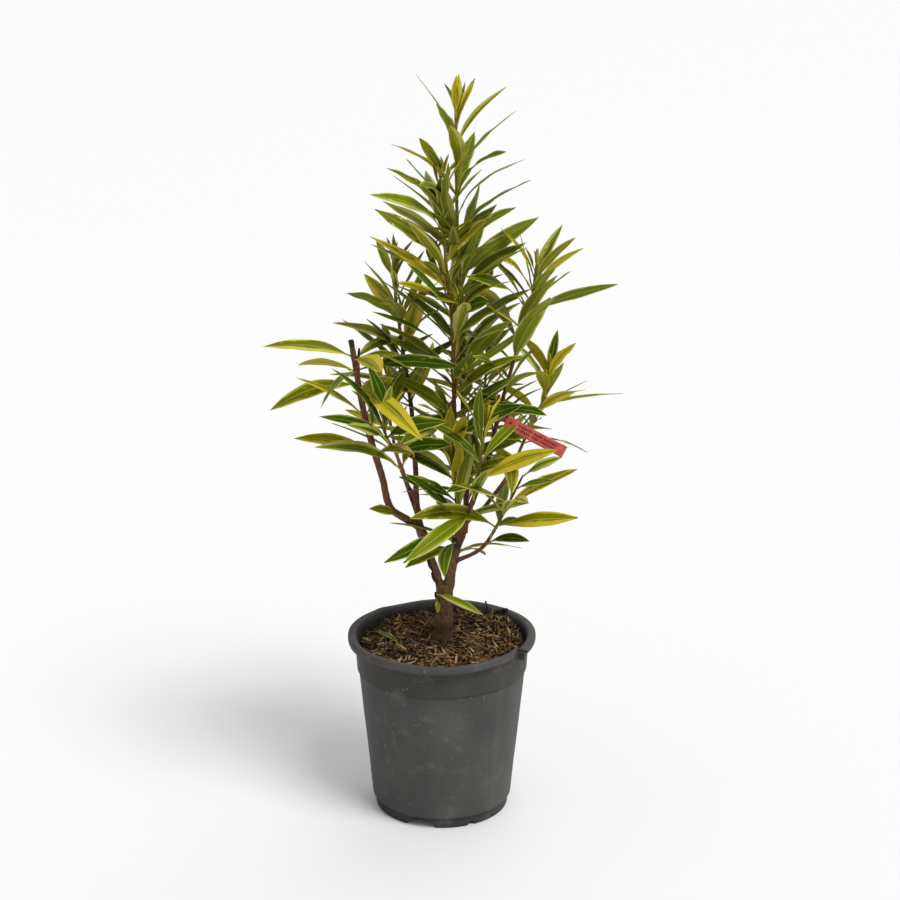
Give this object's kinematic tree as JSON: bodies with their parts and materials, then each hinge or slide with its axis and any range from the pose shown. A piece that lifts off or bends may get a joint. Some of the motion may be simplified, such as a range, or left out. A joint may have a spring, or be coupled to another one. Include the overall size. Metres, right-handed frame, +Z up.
{
  "type": "potted variegated oleander",
  "caption": "Young upright oleander shrub with narrow cream-edged leaves on several stems from a short trunk, in a round nursery pot.",
  "frame": {"origin": "centre of the pot's flat underside, on the surface that the pot stands on", "axes": "+Z up along the pot's axis, -Y towards the front of the plant, +X to its right"},
  "size_m": [0.3859, 0.2625, 0.7751],
  "materials": {
    "pot_plastic": "dusty matt moulded plastic with scuffs",
    "compost": "loose compost under bark and straw slivers",
    "old_bark": "dull grey-brown bark",
    "stem_bark": "smooth red-brown young bark",
    "foliage": "leathery green leaves with cream edges",
    "young_foliage": "yellow-green young leaves with cream edges",
    "label_card": "thin salmon-red plastic strip"
  },
  "bodies": {
    "root": {"pot": "pot_plastic", "compost": "compost", "trunk": "old_bark", "left_limb": "old_bark", "right_limb": "old_bark", "leader_stem": "stem_bark", "centre_stem": "stem_bark", "far_left_stem": "stem_bark", "inner_left_stem": "stem_bark", "front_left_stem": "stem_bark", "front_right_stem": "stem_bark", "right_stem": "stem_bark", "low_right_stem": "stem_bark", "far_right_stem": "stem_bark", "back_left_stem": "stem_bark", "back_right_stem": "stem_bark", "plant_label": "label_card", "leader_tip_foliage": "young_foliage", "leader_upper_foliage": "young_foliage", "leader_middle_foliage": "young_foliage", "leader_lower_foliage": "foliage", "leader_foot_foliage": "foliage", "centre_tip_foliage": "young_foliage", "centre_upper_foliage": "young_foliage", "centre_middle_foliage": "foliage", "centre_foot_foliage": "foliage", "inner_left_tip_foliage": "young_foliage", "inner_left_middle_foliage": "foliage", "far_left_top_foliage": "foliage", "far_left_middle_foliage": "foliage", "front_left_foliage": "foliage", "front_right_foliage": "foliage", "right_tip_foliage": "young_foliage", "right_middle_foliage": "foliage", "right_foot_foliage": "foliage", "far_right_foliage": "foliage", "low_right_foliage": "foliage", "back_left_foliage": "foliage", "back_right_foliage": "foliage", "stub_leaves_foliage": "foliage", "trunk_leaves_foliage": "foliage"}
  },
  "joints": []
}
